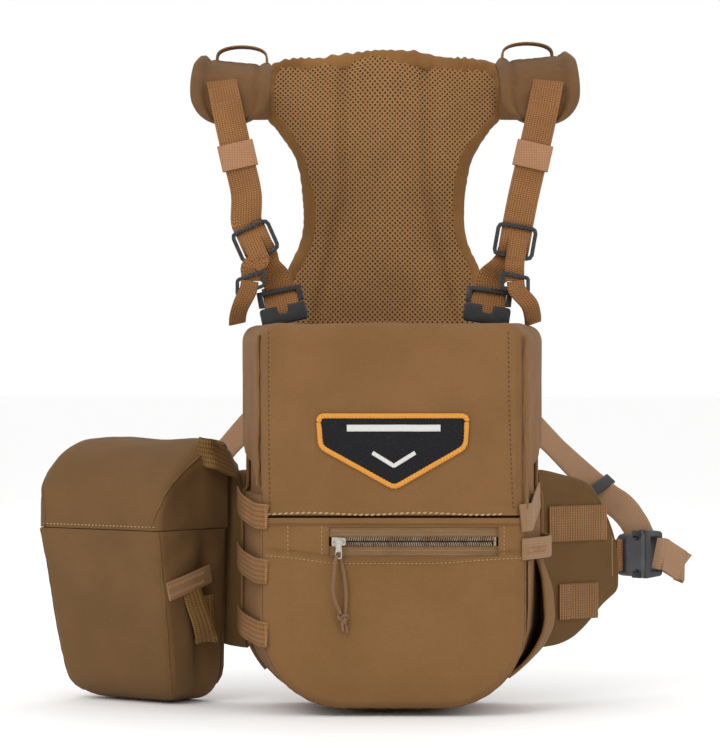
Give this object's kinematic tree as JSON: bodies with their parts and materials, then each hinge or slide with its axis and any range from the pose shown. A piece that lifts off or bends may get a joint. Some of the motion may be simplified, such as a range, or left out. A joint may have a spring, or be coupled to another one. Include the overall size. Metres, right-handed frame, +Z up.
{
  "type": "binocular harness pack",
  "caption": "Chest pack with a forward-folding lid, zipped front pocket, hip wings, a lidded side pouch and a mesh-backed shoulder harness.",
  "frame": {"origin": "centre of the pack's flat rear face, which lies on the wearer's chest", "axes": "+Z up, +X to the right of somebody facing the front of the pack, +Y out of the rear face towards the wearer"},
  "size_m": [0.4268, 0.2277, 0.4349],
  "materials": {
    "pack_cloth": "coated woven nylon, coyote brown",
    "padded_cloth": "padded woven nylon, dark coyote",
    "webbing": "ribbed nylon webbing",
    "elastic": "woven elastic",
    "spacer_mesh": "knitted spacer mesh",
    "zip_tape": "woven zip tape",
    "zip_metal": "antiqued metal",
    "hook_metal": "black coated wire and plate",
    "buckle_plastic": "moulded plastic, satin black",
    "patch_cloth": "looped pile patch",
    "cord": "braided cord",
    "magnet_strip": "magnet strip sewn into binding tape"
  },
  "bodies": {
    "root": {"back_magnet_strip": "magnet_strip", "back_panel": "pack_cloth", "buckle_stub_webbing": "webbing", "chest_buckle_left": "buckle_plastic", "chest_buckle_right": "buckle_plastic", "elastic_tab": "elastic", "front_pocket": "pack_cloth", "grab_loop_left": "webbing", "grab_loop_right": "webbing", "lower_webbing_left": "webbing", "lower_webbing_right": "webbing", "pack_body": "pack_cloth", "pouch_back_panel": "padded_cloth", "pouch_body": "padded_cloth", "pouch_elastic_tab": "elastic", "pouch_top_loop": "webbing", "pouch_webbing_loop": "webbing", "shoulder_strap_left": "padded_cloth", "shoulder_strap_right": "padded_cloth", "shoulder_webbing_left": "webbing", "shoulder_webbing_right": "webbing", "side_buckle_socket_left": "buckle_plastic", "side_buckle_socket_right": "buckle_plastic", "side_loop_lower": "webbing", "side_loop_middle": "webbing", "side_loop_upper": "webbing", "side_pocket": "padded_cloth", "side_pocket_binding": "elastic", "side_strap_left": "elastic", "side_strap_right": "elastic", "tether_left": "webbing", "tether_right": "webbing", "wing_left": "padded_cloth", "wing_right": "padded_cloth", "wing_webbing_lower": "webbing", "wing_webbing_upper": "webbing", "yoke_pad": "spacer_mesh", "zipper_tape": "zip_tape", "zipper_teeth": "zip_metal"},
    "main_lid": {"main_lid": "pack_cloth", "lid_patch": "patch_cloth", "lid_magnet_strip": "magnet_strip"},
    "zip_slider": {"zipper_slider": "zip_metal"},
    "zip_pull": {"zipper_pull_tab": "zip_metal", "zip_pull_cord": "cord", "zip_pull_knot": "cord"},
    "pouch_lid": {"pouch_lid": "padded_cloth"},
    "side_plug_right": {"side_buckle_plug_right": "buckle_plastic", "buckle_tail": "webbing"},
    "side_plug_left": {"side_buckle_plug_left": "buckle_plastic"},
    "strap_keeper": {"strap_slider": "buckle_plastic"},
    "webbing_keeper_left": {"webbing_keeper_left": "elastic"},
    "gate_hook_left": {"gate_hook_left": "hook_metal"},
    "chest_insert_left": {"chest_insert_left": "buckle_plastic"},
    "small_hook_left": {"small_hook_left": "hook_metal"},
    "webbing_keeper_right": {"webbing_keeper_right": "elastic"},
    "gate_hook_right": {"gate_hook_right": "hook_metal"},
    "chest_insert_right": {"chest_insert_right": "buckle_plastic"},
    "small_hook_right": {"small_hook_right": "hook_metal"}
  },
  "joints": [
    {"name": "main_lid_hinge", "type": "hinge", "parent": "root", "child": "main_lid", "pos_m": [0, -0.101, 0.0008], "axis": [1, 0, 0], "range_deg": [0, 135]},
    {"name": "zip_slide", "type": "slide", "parent": "root", "child": "zip_slider", "axis": [1, 0, 0], "range_m": [0, 0.092]},
    {"name": "zip_pull_swing", "type": "hinge", "parent": "zip_slider", "child": "zip_pull", "pos_m": [-0.034, -0.1057, -0.0142], "axis": [-1, 0, 0], "range_deg": [0, 45]},
    {"name": "pouch_lid_hinge", "type": "hinge", "parent": "root", "child": "pouch_lid", "pos_m": [-0.19064, -0.02202, -0.011], "axis": [0.788, -0.6157, 0], "range_deg": [0, 120]},
    {"name": "side_release_right", "type": "slide", "parent": "root", "child": "side_plug_right", "axis": [0.766, 0.6428, 0], "range_m": [0, 0.026]},
    {"name": "side_release_left", "type": "slide", "parent": "root", "child": "side_plug_left", "axis": [-0.766, 0.6428, 0], "range_m": [0, 0.026]},
    {"name": "strap_keeper_slide", "type": "slide", "parent": "root", "child": "strap_keeper", "axis": [-0.7142, 0.2445, 0.6558], "range_m": [0, 0.009]},
    {"name": "webbing_keeper_slide_left", "type": "slide", "parent": "root", "child": "webbing_keeper_left", "axis": [0.2215, -0.0332, -0.9746], "range_m": [0, 0.018]},
    {"name": "gate_hook_swing_left", "type": "hinge", "parent": "root", "child": "gate_hook_left", "pos_m": [-0.09253, -0.0095, 0.18354], "axis": [0.9135, 0, 0.4067], "range_deg": [-5, 45]},
    {"name": "chest_release_left", "type": "slide", "parent": "root", "child": "chest_insert_left", "axis": [-0.2079, 0, 0.9781], "range_m": [0, 0.016]},
    {"name": "small_hook_swing_left", "type": "hinge", "parent": "root", "child": "small_hook_left", "pos_m": [-0.0913, -0.016, 0.1521], "axis": [0.9468, 0, 0.3219], "range_deg": [0, 18]},
    {"name": "webbing_keeper_slide_right", "type": "slide", "parent": "root", "child": "webbing_keeper_right", "axis": [-0.2215, -0.0332, -0.9746], "range_m": [0, 0.018]},
    {"name": "gate_hook_swing_right", "type": "hinge", "parent": "root", "child": "gate_hook_right", "pos_m": [0.08122, -0.0095, 0.18425], "axis": [0.9848, 0, -0.1736], "range_deg": [-5, 45]},
    {"name": "chest_release_right", "type": "slide", "parent": "root", "child": "chest_insert_right", "axis": [0.1392, 0, 0.9903], "range_m": [0, 0.016]},
    {"name": "small_hook_swing_right", "type": "hinge", "parent": "root", "child": "small_hook_right", "pos_m": [0.079, -0.016, 0.1521], "axis": [0.9806, 0, -0.1961], "range_deg": [0, 18]}
  ]
}
